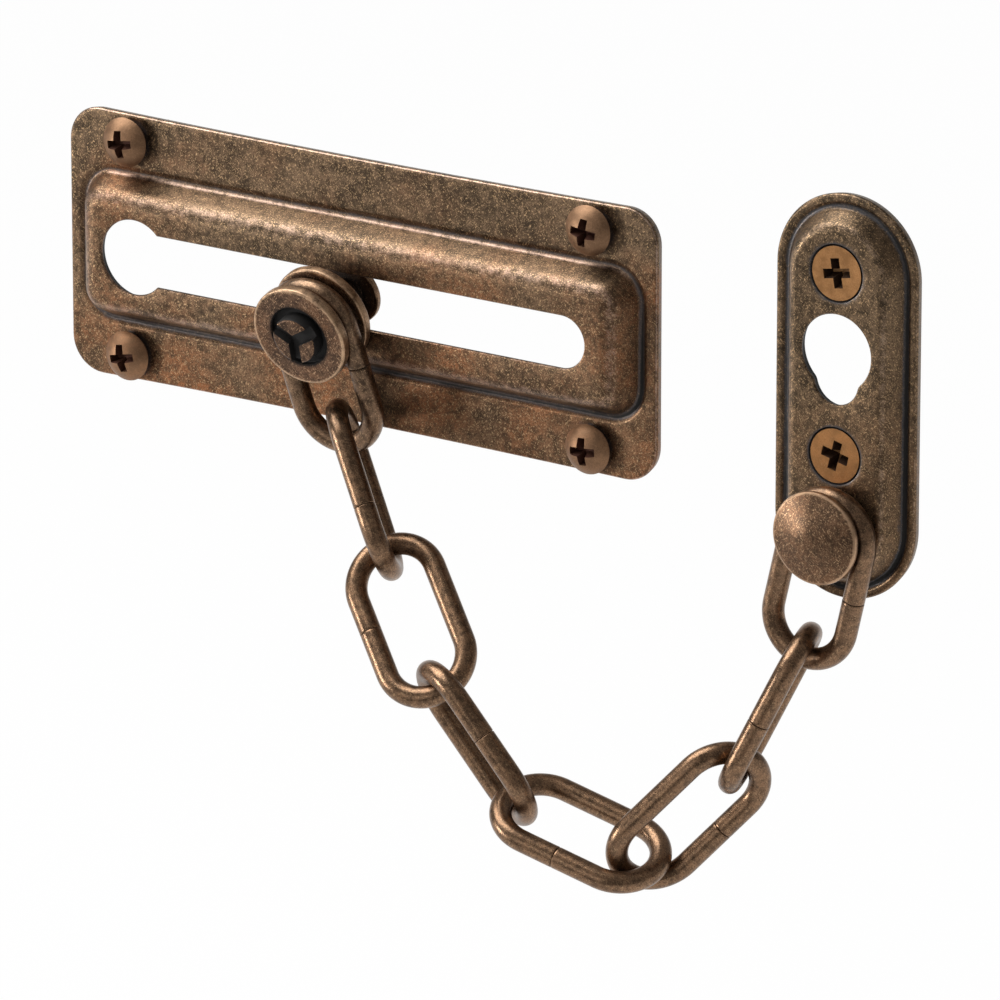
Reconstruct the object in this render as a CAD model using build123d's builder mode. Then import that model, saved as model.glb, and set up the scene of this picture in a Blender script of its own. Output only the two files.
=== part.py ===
from build123d import *
from math import asin, cos, dist, radians, sin, tan
import os

# Door chain: a pressed slide plate with its slider, eight wire links and an anchor plate.
# Millimetres, +Z up. Both plates lie against the plane Y = 0 and face -Y.
# The origin is the centre of the slide plate's back.

# Sheet of both plates
sheet = 1.5
edge_round = 0.4
crease_width = 0.7
crease_depth = 0.35

# Slide plate: outline, drawn in a little at the middle of its long edges by the pressing
plate_length = 84.0
plate_height = 33.8
plate_corner = 4.5
plate_waist = 0.4

# Raised channel of the slide plate
channel_length = 79.0
channel_height = 18.1
channel_corner = 4.0
channel_rise = 3.5
channel_slope = 26.0
channel_shoulder = 2.6

# Keyhole slot: round entry on the left, closed end on the right
slot_width = 6.5
slot_end_x = 30.8
keyhole_x = -30.4
keyhole_diameter = 9.4

# Wood screws, number 6, the pan heads with a neck that widens to fill the plate's hole
shank_diameter = 3.5
shank_clearance = 0.15
collar_diameter = 3.7
point_length = 4.5
cross_width = 1.15
cross_reach = 3.6
cross_depth = 1.6
cross_slope = 14.0
pan_length = 9.5
pan_head_diameter = 6.2
pan_foot_diameter = 4.8
pan_head_height = 2.7
pan_rim_height = 1.1
pan_spacing_x = 66.2
pan_spacing_z = 27.0
pan_turns = (8.0, 12.0, -6.0, 4.0)
flat_length = 12.5
flat_head_diameter = 6.6
flat_head_sink = 0.1
flat_head_play = 0.25
flat_turns = (10.0, -14.0)

# Slider: stands in the slot, tipped forward by the weight of the chain
slider_x = -1.2
slider_tip = 15.0
slide_play = 0.15
neck_diameter = 4.3
button_diameter = 8.6
button_thickness = 0.9
flange_diameter = 12.8
flange_thickness = 1.2
hub_diameter = 6.4
groove_width = 3.5
disc_diameter = 12.8
disc_thickness = 1.3
sink_diameter = 7.7
sink_depth = 0.8
bore_diameter = 2.7
bore_clearance = 0.05
screw_head_diameter = 5.9
screw_head_proud = 1.2
screw_depth = 3.6
tri_slot_width = 1.5
tri_slot_depth = 1.0
tri_slot_angles = (30.0, 150.0, 270.0)
rim_round = 0.35

# Chain links of bent wire, with a butt seam in one leg
wire = 2.67
leg_length = 10.35
leg_spacing = 10.08
link_play = 0.15
seam_gap = 0.12

# How each link hangs: downward angle of its length in the XZ plane, turn about its own
# length, slope of its length towards the door, and the leg and place of its butt seam.
# The first link leans as a whole, nearly in the plane of the slider's groove.
lay_angles = (79.0, 58.0, 45.5, 50.0, 16.0, -50.0, -67.5, -77.0)
roll_angles = (0.0, 122.0, 32.0, 140.5, 70.5, 131.0, 74.0, 0.0)
door_slopes = (0.0, -0.23, -0.38, 0.05, 0.10, 0.33, 0.24, 0.0)
first_lean = 12.0
seam_sides = (1, -1, -1, -1, -1, 1, -1, -1)
seam_places = (0.5, 0.78, 0.43, 0.5, 0.46, 0.59, 0.42, 0.42)

# Anchor plate: a stadium with a raised field
anchor_width = 19.1
anchor_height = 49.3
field_margin = 1.75
field_rise = 2.3
field_slope = 30.0
field_shoulder = 1.5
anchor_screw_top = 15.7
anchor_screw_low = -6.5
anchor_key_z = 6.0
anchor_key_diameter = 9.4
anchor_park_z = 2.7
anchor_park_width = 6.0

# Knob riveted into the anchor plate, near its lower end
knob_drop = 15.4
knob_diameter = 11.3
knob_rim = 0.8
knob_slope = 17.0
knob_tip = 2.2
knob_gap = 3.6
post_diameter = 3.0
post_clearance = 0.05
post_drop = 1.45
post_aside = 0.5
tail_diameter = 7.0
tail_height = 0.9

os.makedirs("parts", exist_ok=True)

channel_face = sheet + channel_rise
field_face = sheet + field_rise
wire_radius = wire / 2
crown_radius = leg_spacing / 2


def inner_step(slope):
    """How far in a pressed wall's inner foot lies from its outer foot, at the back plane."""
    return sheet / cos(radians(slope)) - sheet * tan(radians(slope))


# Slide plate
half_length = plate_length / 2
half_height = plate_height / 2
with BuildPart() as slide_plate:
    with BuildSketch(Plane.XZ):
        with BuildLine():
            SagittaArc((-half_length, half_height), (half_length, half_height), -plate_waist)
            Line((half_length, half_height), (half_length, -half_height))
            SagittaArc((half_length, -half_height), (-half_length, -half_height), -plate_waist)
            Line((-half_length, -half_height), (-half_length, half_height))
        make_face()
        fillet(vertices(), plate_corner)
    extrude(amount=sheet)
    fillet(faces().sort_by(Axis.Y)[0].edges(), edge_round)
    with BuildSketch(Plane.XZ.offset(sheet)):
        RectangleRounded(
            channel_length + 2 * crease_width,
            channel_height + 2 * crease_width,
            channel_corner + crease_width,
        )
    extrude(amount=-crease_depth, mode=Mode.SUBTRACT)
    with BuildSketch(Plane.XZ.offset(sheet - crease_depth)):
        RectangleRounded(channel_length, channel_height, channel_corner)
    extrude(amount=channel_rise + crease_depth, taper=channel_slope)
    fillet(faces().sort_by(Axis.Y)[0].edges(), channel_shoulder)
    channel_inset = 2 * inner_step(channel_slope)
    with BuildSketch(Plane.XZ):
        RectangleRounded(
            channel_length - channel_inset,
            channel_height - channel_inset,
            channel_corner - channel_inset / 2,
        )
    extrude(amount=channel_rise, taper=channel_slope, mode=Mode.SUBTRACT)
    with BuildSketch(Plane.XZ):
        slot_length = slot_end_x - keyhole_x
        with Locations(((slot_end_x + keyhole_x) / 2, 0)):
            SlotCenterToCenter(slot_length, slot_width)
        with Locations((keyhole_x, 0)):
            Circle(keyhole_diameter / 2)
    extrude(amount=channel_face, mode=Mode.SUBTRACT)
    with BuildSketch(Plane.XZ):
        with GridLocations(pan_spacing_x, pan_spacing_z, 2, 2):
            Circle(shank_diameter / 2 + shank_clearance)
    extrude(amount=sheet, mode=Mode.SUBTRACT)
slide_plate.part.label = "slide_plate"
export_step(slide_plate.part, "parts/slide_plate.step")


# Wood screws: a revolved head, shank and gimlet point with a cross recess in the head
shank_radius = shank_diameter / 2
collar_radius = collar_diameter / 2
pan_radius = pan_head_diameter / 2
pan_dome = pan_head_height - pan_rim_height

pan_screws = []
for pan_turn in pan_turns:
    with BuildPart() as pan_screw:
        with BuildSketch(Plane.XZ):
            with BuildLine():
                Polyline(
                    (0, 0),
                    (0, -pan_head_height - pan_length),
                    (shank_radius, -pan_head_height - pan_length + point_length),
                    (shank_radius, -pan_head_height - sheet),
                    (collar_radius, -pan_head_height),
                    (pan_foot_diameter / 2, -pan_head_height),
                    (pan_radius, -pan_dome),
                )
                TangentArc((0, 0), (pan_radius, -pan_dome), tangent=(1, 0))
            make_face()
        revolve(axis=Axis.Z)
        with BuildSketch(Plane.XY):
            Rectangle(cross_reach, cross_width, rotation=pan_turn)
            Rectangle(cross_width, cross_reach, rotation=pan_turn)
        extrude(amount=-cross_depth, taper=cross_slope, mode=Mode.SUBTRACT)
    pan_screws.append(pan_screw.part)

pan_places = [
    Location(Plane((x, -sheet - pan_head_height, z), x_dir=(1, 0, 0), z_dir=(0, -1, 0)))
    for x in (-pan_spacing_x / 2, pan_spacing_x / 2)
    for z in (pan_spacing_z / 2, -pan_spacing_z / 2)
]
with BuildPart() as slide_plate_screws:
    for place, screw in zip(pan_places, pan_screws):
        with Locations(place):
            add(screw)
slide_plate_screws.part.label = "slide_plate_screws"
export_step(slide_plate_screws.part, "parts/slide_plate_screws.step")


# Slider: pieces of revolution about one axis, tipped forward so that the flange's lower edge
# bears on the channel and the button's upper edge bears behind it
tip_sin = sin(radians(slider_tip))
tip_cos = cos(radians(slider_tip))
bearing = sheet / 2 + slide_play
neck_drop = neck_diameter / 2 / tip_cos + bearing * tip_sin / tip_cos
slider_centre = Vector(slider_x, -channel_face + sheet / 2, neck_drop - slot_width / 2 + slide_play)
slider_forward = Vector(0, -tip_cos, -tip_sin)
slider_up = Vector(0, -tip_sin, tip_cos)
slider_axis = Axis(slider_centre, slider_forward)
slider_section = Plane(slider_centre, x_dir=(1, 0, 0), z_dir=-slider_up)

flange_back = (bearing + flange_diameter / 2 * tip_sin) / tip_cos
button_front = -(bearing + button_diameter / 2 * tip_sin) / tip_cos
button_back = button_front - button_thickness
flange_front = flange_back + flange_thickness
disc_back = flange_front + groove_width
disc_front = disc_back + disc_thickness
sink_floor = disc_front - sink_depth
screw_end = flange_back - screw_depth
bore_radius = bore_diameter / 2
screw_radius = bore_radius - bore_clearance

with BuildPart() as slider_button:
    with BuildSketch(slider_section):
        with BuildLine():
            Polyline(
                (0, button_back),
                (button_diameter / 2, button_back),
                (button_diameter / 2, button_front),
                (neck_diameter / 2, button_front),
                (neck_diameter / 2, flange_back),
                (bore_radius, flange_back),
                (bore_radius, screw_end),
                (0, screw_end),
                close=True,
            )
        make_face()
    revolve(axis=slider_axis)
    button_rims = edges().filter_by(GeomType.CIRCLE).sort_by(SortBy.RADIUS)[-2:]
    fillet(button_rims, rim_round)
slider_button.part.label = "slider_button"
export_step(slider_button.part, "parts/slider_button.step")

with BuildPart() as slider_spool:
    with BuildSketch(slider_section):
        with BuildLine():
            Polyline(
                (bore_radius, flange_back),
                (flange_diameter / 2, flange_back),
                (flange_diameter / 2, flange_front),
                (hub_diameter / 2, flange_front),
                (hub_diameter / 2, disc_back),
                (bore_radius, disc_back),
                close=True,
            )
        make_face()
    revolve(axis=slider_axis)
    flange_rims = edges().filter_by(GeomType.CIRCLE).sort_by(SortBy.RADIUS)[-2:]
    fillet(flange_rims, rim_round)
slider_spool.part.label = "slider_spool"
export_step(slider_spool.part, "parts/slider_spool.step")

with BuildPart() as slider_disc:
    with BuildSketch(slider_section):
        with BuildLine():
            Polyline(
                (bore_radius, disc_back),
                (disc_diameter / 2, disc_back),
                (disc_diameter / 2, disc_front),
                (sink_diameter / 2, disc_front),
                (sink_diameter / 2, sink_floor),
                (bore_radius, sink_floor),
                close=True,
            )
        make_face()
    revolve(axis=slider_axis)
    disc_rims = edges().filter_by(GeomType.CIRCLE).sort_by(SortBy.RADIUS)[-2:]
    fillet(disc_rims, rim_round)
slider_disc.part.label = "slider_disc"
export_step(slider_disc.part, "parts/slider_disc.step")

screw_face = disc_front + screw_head_proud
with BuildPart() as slider_screw:
    with BuildSketch(slider_section):
        with BuildLine():
            Polyline(
                (0, screw_end + bore_clearance),
                (screw_radius, screw_end + bore_clearance),
                (screw_radius, sink_floor),
                (screw_head_diameter / 2, sink_floor),
                (screw_head_diameter / 2, screw_face),
                (0, screw_face),
                close=True,
            )
        make_face()
    revolve(axis=slider_axis)
    head_rim = edges().filter_by(GeomType.CIRCLE).sort_by(SortBy.RADIUS)[-2:]
    fillet(head_rim.sort_by(Axis.Y)[0], rim_round)
    with BuildSketch(Plane(slider_centre + slider_forward * screw_face, (1, 0, 0), slider_forward)):
        for tri_angle in tri_slot_angles:
            arm_place = Vector(screw_head_diameter / 2, 0).rotate(Axis.Z, tri_angle)
            with Locations(Location((arm_place.X, arm_place.Y), tri_angle)):
                Rectangle(screw_head_diameter, tri_slot_width)
    extrude(amount=-tri_slot_depth, mode=Mode.SUBTRACT)
slider_screw.part.label = "slider_screw"
export_step(slider_screw.part, "parts/slider_screw.step")


# Chain: the first link hangs on the slider's hub, in the groove. Each next link
# is drawn out along the mean direction of the two until their wires keep the play. One common
# slope is added so that the last link ends midway between the anchor's field and the knob.
groove_middle = slider_centre + slider_forward * (flange_front + groove_width / 2)
last_depth = -field_face - knob_gap / 2
link_count = len(lay_angles)
link_pitch = leg_length + leg_spacing - wire


def crown_points(along, across, outward):
    """Middle of a link's wire round one crown and part of the legs, from the crown's centre."""
    bend = [(90.0 * k / 14, 0.0) for k in range(-14, 15)]
    legs = [(90.0 * side, 0.12 * k) for side in (-1, 1) for k in range(1, 6)]
    points = []
    for angle, back in bend + legs:
        forward = crown_radius * cos(radians(angle)) - back * leg_length
        point = along * (outward * forward) + across * (crown_radius * sin(radians(angle)))
        points.append(tuple(point))
    return points


def hook_reach(along, across, next_along, next_across, pull):
    """Distance from a link's end centre to the next link's start centre, along the pull."""
    first = crown_points(along, across, 1)
    second = crown_points(next_along, next_across, -1)
    near = wire
    far = leg_spacing
    for _ in range(16):
        reach = (near + far) / 2
        shift = tuple(pull * reach)
        moved = [(p[0] + shift[0], p[1] + shift[1], p[2] + shift[2]) for p in second]
        if min(dist(p, q) for p in first for q in moved) >= wire + link_play:
            near = reach
        else:
            far = reach
    return near


def lay_chain(common_slope):
    """Start centre, length direction and leg direction of every link."""
    turn = radians(lay_angles[0])
    lean_up = Vector(0, -sin(radians(first_lean)), cos(radians(first_lean)))
    along = Vector(cos(turn), 0, 0) - lean_up * sin(turn)
    across = Vector(sin(turn), 0, 0) + lean_up * cos(turn)
    hang = crown_radius - wire_radius - hub_diameter / 2 - link_play
    start = groove_middle + along * hang
    frames = [(start, along, across)]
    for i in range(1, link_count):
        turn = radians(lay_angles[i])
        roll = radians(roll_angles[i])
        slope = door_slopes[i] + common_slope if i < link_count - 1 else 0.0
        flat = cos(asin(slope))
        next_along = Vector(cos(turn) * flat, slope, -sin(turn) * flat)
        level = Vector(sin(turn), 0, cos(turn))
        next_across = level * cos(roll) + level.cross(next_along) * sin(roll)
        pull = (along + next_along).normalized()
        reach = hook_reach(along, across, next_along, next_across, pull)
        start = start + along * leg_length + pull * reach
        along = next_along
        across = next_across
        frames.append((start, along, across))
    return frames


common_slope = 0.0
for _ in range(6):
    link_frames = lay_chain(common_slope)
    common_slope += (last_depth - link_frames[-1][0].Y) / (link_pitch * (link_count - 2))
link_frames = lay_chain(common_slope)

for i, (start, along, across) in enumerate(link_frames):
    side = seam_sides[i]
    half_gap = seam_gap / 2
    seam = leg_length * seam_places[i]
    link_plane = Plane(start, x_dir=along, z_dir=along.cross(across * side))
    with BuildPart() as chain_link:
        with BuildLine(link_plane) as bend:
            Line((seam + half_gap, crown_radius), (leg_length, crown_radius))
            ThreePointArc(
                (leg_length, crown_radius), (leg_length + crown_radius, 0), (leg_length, -crown_radius)
            )
            Line((leg_length, -crown_radius), (0, -crown_radius))
            ThreePointArc((0, -crown_radius), (-crown_radius, 0), (0, crown_radius))
            Line((0, crown_radius), (seam - half_gap, crown_radius))
        with BuildSketch(Plane(bend.line @ 0, z_dir=bend.line % 0)):
            Circle(wire_radius)
        sweep(path=bend.line)
    chain_link.part.label = f"chain_link_{i + 1}"
    export_step(chain_link.part, f"parts/chain_link_{i + 1}.step")


# Anchor plate: placed so that its knob's post stands in the far crown of the last link, a
# little to one side
post_radius = post_diameter / 2
last_start, last_along, last_across = link_frames[-1]
post_reach = leg_length + crown_radius - wire_radius - post_radius - link_play - post_drop
post_place = last_start + last_along * post_reach + last_across * post_aside
anchor_x = post_place.X
anchor_z = post_place.Z + knob_drop
anchor_back = Plane((anchor_x, 0, anchor_z), x_dir=(1, 0, 0), z_dir=(0, -1, 0))
field_width = anchor_width - 2 * field_margin
field_height = anchor_height - 2 * field_margin
field_inset = 2 * inner_step(field_slope)
flat_hole_radius = shank_radius + flat_head_play
flat_sink_radius = flat_head_diameter / 2 + flat_head_play

with BuildPart() as anchor_plate:
    with BuildSketch(anchor_back):
        SlotOverall(anchor_height, anchor_width, rotation=90)
    extrude(amount=sheet)
    fillet(faces().sort_by(Axis.Y)[0].edges(), edge_round)
    with BuildSketch(anchor_back.offset(sheet)):
        SlotOverall(field_height + 2 * crease_width, field_width + 2 * crease_width, rotation=90)
    extrude(amount=-crease_depth, mode=Mode.SUBTRACT)
    with BuildSketch(anchor_back.offset(sheet - crease_depth)):
        SlotOverall(field_height, field_width, rotation=90)
    extrude(amount=field_rise + crease_depth, taper=field_slope)
    fillet(faces().sort_by(Axis.Y)[0].edges(), field_shoulder)
    with BuildSketch(anchor_back):
        SlotOverall(field_height - field_inset, field_width - field_inset, rotation=90)
    extrude(amount=field_rise, taper=field_slope, mode=Mode.SUBTRACT)
    with BuildSketch(anchor_back):
        with Locations((0, anchor_key_z)):
            Circle(anchor_key_diameter / 2)
        with Locations((0, (anchor_key_z + anchor_park_z) / 2)):
            SlotCenterToCenter(anchor_key_z - anchor_park_z, anchor_park_width, rotation=90)
        with Locations((0, -knob_drop)):
            Circle(post_radius + post_clearance)
    extrude(amount=field_face, mode=Mode.SUBTRACT)
    with Locations(anchor_back.offset(field_face)):
        with Locations((0, anchor_screw_top), (0, anchor_screw_low)):
            CounterSinkHole(flat_hole_radius, flat_sink_radius, counter_sink_angle=90)
anchor_plate.part.label = "anchor_plate"
export_step(anchor_plate.part, "parts/anchor_plate.step")

# Countersunk screws, a hair below the field's face
flat_radius = flat_head_diameter / 2
flat_screws = []
for flat_turn in flat_turns:
    with BuildPart() as flat_screw:
        with BuildSketch(Plane.XZ):
            with BuildLine():
                Polyline(
                    (0, 0),
                    (0, -flat_length),
                    (shank_radius, -flat_length + point_length),
                    (shank_radius, -(flat_radius - shank_radius)),
                    (flat_radius, 0),
                    close=True,
                )
            make_face()
        revolve(axis=Axis.Z)
        with BuildSketch(Plane.XY):
            Rectangle(cross_reach, cross_width, rotation=flat_turn)
            Rectangle(cross_width, cross_reach, rotation=flat_turn)
        extrude(amount=-cross_depth, taper=cross_slope, mode=Mode.SUBTRACT)
    flat_screws.append(flat_screw.part)

flat_places = [
    Location(Plane((anchor_x, -field_face + flat_head_sink, anchor_z + z), (1, 0, 0), (0, -1, 0)))
    for z in (anchor_screw_top, anchor_screw_low)
]
with BuildPart() as anchor_screws:
    for place, screw in zip(flat_places, flat_screws):
        with Locations(place):
            add(screw)
anchor_screws.part.label = "anchor_screws"
export_step(anchor_screws.part, "parts/anchor_screws.step")

# Knob: a low cone with a thin rim and a rounded tip on a post, riveted over behind the sheet
knob_back = field_face + knob_gap
knob_edge = knob_back + knob_rim
tip_edge = knob_edge + (knob_diameter / 2 - knob_tip) * tan(radians(knob_slope))
tip_end = tip_edge + knob_tip * tan(radians(knob_slope / 2))
with BuildPart() as anchor_knob:
    with BuildSketch(Plane((anchor_x, 0, post_place.Z), x_dir=(1, 0, 0), z_dir=(0, 0, 1))):
        with BuildLine():
            Polyline(
                (0, -tip_end),
                (0, -field_rise + tail_height),
                (tail_diameter / 2, -field_rise + tail_height),
                (tail_diameter / 2, -field_rise),
                (post_radius, -field_rise),
                (post_radius, -knob_back),
                (knob_diameter / 2, -knob_back),
                (knob_diameter / 2, -knob_edge),
                (knob_tip, -tip_edge),
            )
            TangentArc((0, -tip_end), (knob_tip, -tip_edge), tangent=(1, 0))
        make_face()
    revolve(axis=Axis((anchor_x, 0, post_place.Z), (0, 1, 0)))
anchor_knob.part.label = "anchor_knob"
export_step(anchor_knob.part, "parts/anchor_knob.step")
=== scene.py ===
"""A door chain in antique bronze: slide plate, slider, wire links and anchor plate."""

import bmesh
import bpy
import numpy as np
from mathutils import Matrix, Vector
from mathutils.geometry import delaunay_2d_cdt


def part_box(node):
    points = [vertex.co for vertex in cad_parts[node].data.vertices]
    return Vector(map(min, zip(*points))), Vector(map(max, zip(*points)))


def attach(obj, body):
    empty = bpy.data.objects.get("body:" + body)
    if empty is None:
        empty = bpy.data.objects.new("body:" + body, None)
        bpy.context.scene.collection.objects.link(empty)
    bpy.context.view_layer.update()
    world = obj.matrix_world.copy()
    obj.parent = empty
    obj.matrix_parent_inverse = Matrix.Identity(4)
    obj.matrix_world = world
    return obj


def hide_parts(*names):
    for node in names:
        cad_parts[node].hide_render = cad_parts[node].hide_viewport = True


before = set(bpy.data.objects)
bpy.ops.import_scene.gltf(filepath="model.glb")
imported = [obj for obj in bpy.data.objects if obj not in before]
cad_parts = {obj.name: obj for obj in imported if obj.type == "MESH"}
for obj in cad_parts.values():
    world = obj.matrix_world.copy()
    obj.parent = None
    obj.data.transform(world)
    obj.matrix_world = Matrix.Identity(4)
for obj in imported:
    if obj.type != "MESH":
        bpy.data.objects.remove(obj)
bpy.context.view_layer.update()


# Slide plate: sheet steel 1.5 mm thick, pressed up into a long channel with a keyhole slot, and
# screwed to the door by its corners. It is plated in antique bronze: nearly black with patina and
# painted shade in the crease round the channel, the painted shade deepest on the right and below,
# with a painted highlight along the upper hollow and painted shadow round the screws, speckled
# with gold where it is brushed, and rubbed bright along its edges.
sheet = 1.5
crease_floor = 1.2
plate_half = (42.0, 16.9)
plate_corner = 4.5
plate_waist = 0.4
edge_round = 0.4
channel_half = (39.5, 9.05)
channel_corner = 4.0
channel_face = 5.0
channel_slope = np.radians(26.0)
channel_shoulder = 2.6
channel_lip = 1.2
slot_radius = 3.25
slot_end = 30.8
keyhole_x = -30.4
keyhole_radius = 4.7
pan_places = np.array([(-33.1, 13.5), (-33.1, -13.5), (33.1, 13.5), (33.1, -13.5)])
pan_shadow_ring = 2.6
pan_shadow_spread = 0.55
millimetre = 0.001


class Tone:
    """One value in a finish's nodes. Sums on it add Math nodes, so 1 - mask works."""

    def __init__(self, finish, socket):
        self.finish = finish
        self.socket = socket

    def sum(self, operation, first, second):
        return self.finish.node("ShaderNodeMath", {"operation": operation}, {0: first, 1: second})

    def __add__(self, other):
        return self.sum("ADD", self, other)

    __radd__ = __add__

    def __sub__(self, other):
        return self.sum("SUBTRACT", self, other)

    def __rsub__(self, other):
        return self.sum("SUBTRACT", other, self)

    def __mul__(self, other):
        return self.sum("MULTIPLY", self, other)

    __rmul__ = __mul__

    def larger(self, other):
        return self.sum("MAXIMUM", self, other)

    def eased(self, low, high):
        """0 below low and 1 above high, with an eased rise between."""
        spans = {"Value": self, "From Min": low, "From Max": high}
        return self.finish.node("ShaderNodeMapRange", {"interpolation_type": "SMOOTHSTEP"}, spans)


class Finish:
    """The nodes of one material, or of the world: a shader and what gives its colour and gloss."""

    def __init__(self, owner, shader="Principled BSDF", place="Object"):
        owner.use_nodes = True
        self.owner = owner
        self.tree = owner.node_tree
        self.shader = self.tree.nodes[shader]
        self.place = self.node("ShaderNodeTexCoord", output=place)

    def node(self, kind, settings=None, sockets=None, output=0):
        """One node of a kind: its settings, what its sockets get, and the output that is wanted."""
        made = self.tree.nodes.new(kind)
        for key, value in (settings or {}).items():
            setattr(made, key, value)
        for key, value in (sockets or {}).items():
            self.feed(made.inputs[key], value)
        return Tone(self, made.outputs[output])

    def feed(self, socket, value):
        """Links a tone to a socket, or sets a plain value on it."""
        if isinstance(value, Tone):
            self.tree.links.new(value.socket, socket)
        else:
            socket.default_value = value

    def clouds(self, size, detail, roughness=0.55, place=None):
        """Cloudy noise whose blots are about that many millimetres across."""
        sockets = {"Vector": place or self.place, "Scale": 1.0 / (size * millimetre)}
        sockets.update({"Detail": detail, "Roughness": roughness})
        return self.node("ShaderNodeTexNoise", None, sockets)

    def strokes(self, size, turn):
        """The same noise drawn out four times along a line turned from the upright."""
        sockets = {"Vector": self.place, "Rotation": (0.3, turn, 0.0), "Scale": (1.0, 1.0, 4.0)}
        drawn = self.node("ShaderNodeMapping", {"vector_type": "TEXTURE"}, sockets)
        return self.clouds(size, 2.0, 0.6, drawn)

    def marked(self, label):
        """A value that the mesh carries at the corners of its faces."""
        return self.node("ShaderNodeAttribute", {"attribute_name": label}, output="Fac")

    def blend(self, first, second, amount):
        """The first colour with an amount of the second mixed in."""
        sockets = {0: amount, 6: first, 7: second}
        return self.node("ShaderNodeMix", {"data_type": "RGBA"}, sockets, 2)


def paint(red, green, blue):
    """A colour as a screen shows it, from 0 to 255, made linear."""
    part = np.array([red, green, blue]) / 255.0
    linear = np.where(part <= 0.04045, part / 12.92, ((part + 0.055) / 1.055) ** 2.4)
    return (*linear.tolist(), 1.0)


def antique_bronze(
    name, low, high, flecks, copper, patina_shade_colour, bright, gloss, patina_shade_gloss, grain, speckle=0.9
):
    """Brown clouds, copper patches low down and gold flecks, brightened by wear and by painted
    highlights, under patina and painted shade in the hollows. Past 1 that shade is painted black."""
    # Painted black shade, for the deepest hollows.
    black_shade = paint(15, 12, 10)
    black_shade_gloss = 0.75
    fleck_mean = 0.56
    grain_depth = 0.05 * millimetre
    finish = Finish(bpy.data.materials.new(name))
    broad = finish.clouds(9.0, 3.0)
    patches = finish.clouds(13.0, 3.0)
    mottle = finish.clouds(1.0, 4.0)
    fleck = finish.strokes(0.14, 0.7).larger(finish.strokes(0.14, -0.8))
    speck = finish.clouds(0.16, 1.0)
    height = finish.node("ShaderNodeSeparateXYZ", None, {0: finish.place}, "Z")
    patina_and_shade = finish.marked("patina_and_shade")
    wear_and_highlight = finish.marked("wear_and_highlight")

    colour = finish.blend(low, high, (broad * 0.35 + mottle * 0.65).eased(0.36, 0.64))
    coppery = (patches - height * 9.0).eased(0.36, 0.8) * (0.35 + mottle.eased(0.4, 0.6) * 0.5)
    colour = finish.blend(colour, copper, coppery)
    colour = finish.blend(colour, low, speck.eased(0.48, 0.68) * 0.75)
    # Wear on edges and rims, with painted highlights on shoulders, rims and the channel's hollow.
    wear_and_highlight_mix = (wear_and_highlight + (mottle - 0.5) * 0.5 + (fleck - fleck_mean) * 0.8).eased(0.3, 0.95)
    colour = finish.blend(colour, bright, wear_and_highlight_mix * 0.8)
    # Patina and painted shade in creases, recesses, under heads and between parts.
    dark = (patina_and_shade + (mottle - 0.5) * 1.2 + (fleck - fleck_mean) * 0.9).eased(0.25, 0.95)
    colour = finish.blend(colour, patina_shade_colour, dark * 0.92)
    colour = finish.blend(colour, flecks, fleck.eased(0.57, 0.73) * speckle * (1.0 - dark * 0.7))
    deep = (patina_and_shade - 1.0 + (mottle - 0.5) * 0.8).eased(0.05, 0.65)
    colour = finish.blend(colour, black_shade, deep)
    finish.feed(finish.shader.inputs["Base Color"], colour)
    worn = gloss + (mottle - 0.5) * 0.2 - wear_and_highlight_mix * 0.06
    worn = worn + (patina_shade_gloss - worn) * dark
    finish.feed(finish.shader.inputs["Roughness"], worn + (black_shade_gloss - worn) * deep)
    finish.feed(finish.shader.inputs["Metallic"], 0.92 - dark * 0.35 - deep * 0.45)
    relief = fleck * 0.6 + speck * 0.4 + mottle * 0.5
    grained = {"Strength": grain, "Distance": grain_depth, "Height": relief}
    bump = finish.node("ShaderNodeBump", None, grained)
    finish.feed(finish.shader.inputs["Normal"], bump)
    return finish


def loop_marks(long_steps, short_steps, corner_steps):
    """A rounded rectangle walked once round from its right edge: for each point the place of its
    corner's centre, from -1 to 1 across and up, and the angle at which it stands off it."""
    run = np.linspace(1, -1, long_steps, endpoint=False)
    rise = np.linspace(-1, 1, short_steps, endpoint=False)
    bend = np.linspace(0, np.pi / 2, corner_steps, endpoint=False)
    one = np.ones_like
    across = [one(rise), one(bend), run, -one(bend), -one(rise), -one(bend), -run, one(bend)]
    up = [rise, one(bend), one(run), one(bend), -rise, -one(bend), -one(run), -one(bend)]
    angle = [rise * 0, bend, run * 0 + np.pi / 2, bend + np.pi / 2]
    angle += [part + np.pi for part in angle]
    return np.concatenate(across), np.concatenate(up), np.concatenate(angle)


def round_loop(marks, half, corner, out):
    """The rounded rectangle of that half size, pushed out by a distance all round."""
    across, up, angle = marks
    reach = corner + out
    x = across * (half[0] - corner) + reach * np.cos(angle)
    z = up * (half[1] - corner) + reach * np.sin(angle)
    return np.column_stack([x, z])


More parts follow.
